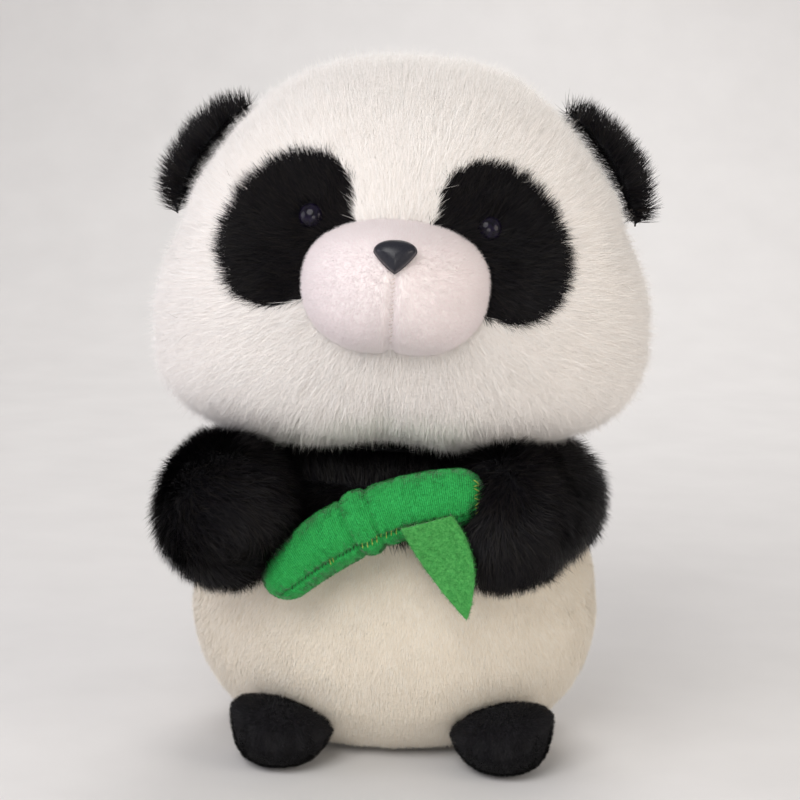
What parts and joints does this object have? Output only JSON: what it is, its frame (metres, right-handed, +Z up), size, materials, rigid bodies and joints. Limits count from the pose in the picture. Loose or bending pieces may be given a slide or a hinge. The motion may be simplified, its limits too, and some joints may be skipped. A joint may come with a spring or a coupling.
{
  "type": "plush panda",
  "caption": "Stuffed plush panda that stands on its base and hugs a green fabric bamboo stick with a felt leaf.",
  "frame": {"origin": "middle of the flat base, on the surface that the panda stands on", "axes": "+Z up, the panda faces -Y, its own left arm is at +X"},
  "size_m": [0.164, 0.1505, 0.23],
  "materials": {
    "white_fur": "matte",
    "muzzle_plush": "matte",
    "belly_plush": "matte",
    "black_fur": "matte",
    "foot_plush": "matte",
    "green_knit": "matte",
    "green_felt": "matte",
    "fibre": "matte",
    "pale_thread": "matte",
    "black_thread": "matte",
    "green_thread": "matte",
    "eye_plastic": "gloss",
    "nose_plastic": "satin",
    "washer_plastic": "satin"
  },
  "bodies": {
    "torso": {"shoulder_yoke": "black_fur", "belly_panel_left": "belly_plush", "belly_panel_right": "belly_plush", "body_back_panel": "belly_plush", "base_panel": "belly_plush", "body_stuffing": "fibre", "back_seam_thread": "pale_thread", "tail": "belly_plush"},
    "neck": {"neck_thread": "black_thread"},
    "head": {"face_panel_left": "white_fur", "face_panel_right": "white_fur", "head_back_panel": "white_fur", "eye_patch_left": "black_fur", "eye_patch_right": "black_fur", "eye_left": "eye_plastic", "eye_right": "eye_plastic", "nose": "nose_plastic", "eye_washer_left": "washer_plastic", "eye_washer_right": "washer_plastic", "nose_washer": "washer_plastic", "muzzle_cover": "muzzle_plush", "muzzle_seam_thread": "pale_thread", "chin_seam_thread": "pale_thread", "head_stuffing": "fibre"},
    "left_ear": {"ear_left": "black_fur"},
    "right_ear": {"ear_right": "black_fur"},
    "right_arm": {"arm_right_cover": "black_fur", "arm_right_stuffing": "fibre", "bamboo_cover": "green_knit", "bamboo_stuffing": "fibre", "bamboo_node_thread": "green_thread", "bamboo_seam_thread": "green_thread"},
    "left_arm": {"arm_left_cover": "black_fur", "arm_left_stuffing": "fibre"},
    "leaf": {"bamboo_leaf": "green_felt"},
    "right_foot": {"foot_right_cover": "foot_plush", "foot_right_stuffing": "fibre"},
    "left_foot": {"foot_left_cover": "foot_plush", "foot_left_stuffing": "fibre"}
  },
  "joints": [
    {"name": "head_nod", "type": "hinge", "parent": "torso", "child": "neck", "pos_m": [0, 0, 0.1015], "axis": [-1, 0, 0], "range_deg": [-2, 6], "stiffness_Nm_per_rad": 0.8},
    {"name": "head_turn", "type": "hinge", "parent": "neck", "child": "head", "pos_m": [0, 0, 0.1015], "axis": [0, 0, 1], "range_deg": [-10, 10], "stiffness_Nm_per_rad": 0.3},
    {"name": "arm_right_lift", "type": "hinge", "parent": "torso", "child": "right_arm", "pos_m": [0, -0.006, 0.088], "axis": [-1, 0, 0], "range_deg": [-4, 3], "stiffness_Nm_per_rad": 0.6},
    {"name": "arm_left_lift", "type": "hinge", "parent": "torso", "child": "left_arm", "pos_m": [0, -0.006, 0.088], "axis": [-1, 0, 0], "range_deg": [-4, 3], "stiffness_Nm_per_rad": 0.5},
    {"name": "leaf_swing", "type": "hinge", "parent": "right_arm", "child": "leaf", "pos_m": [0.0036, -0.0722, 0.0865], "axis": [-0.9613, 0, -0.2756], "range_deg": [0, 35], "stiffness_Nm_per_rad": 0.0004},
    {"name": "ear_left_flex", "type": "hinge", "parent": "head", "child": "left_ear", "pos_m": [0.0585, 0.008, 0.1905], "axis": [0.6293, 0, -0.7771], "range_deg": [-12, 12], "stiffness_Nm_per_rad": 0.03},
    {"name": "ear_right_flex", "type": "hinge", "parent": "head", "child": "right_ear", "pos_m": [-0.0585, 0.008, 0.1905], "axis": [0.6293, 0, 0.7771], "range_deg": [-12, 12], "stiffness_Nm_per_rad": 0.03},
    {"name": "foot_left_lift", "type": "hinge", "parent": "torso", "child": "left_foot", "pos_m": [0.0385, -0.032, 0.0115], "axis": [-1, 0, 0], "range_deg": [0, 10], "stiffness_Nm_per_rad": 0.05},
    {"name": "foot_right_lift", "type": "hinge", "parent": "torso", "child": "right_foot", "pos_m": [-0.0355, -0.032, 0.0115], "axis": [-1, 0, 0], "range_deg": [0, 10], "stiffness_Nm_per_rad": 0.05}
  ],
  "couplings": [
    {"joint": "arm_left_lift", "follows": "arm_right_lift", "ratio": 1}
  ]
}
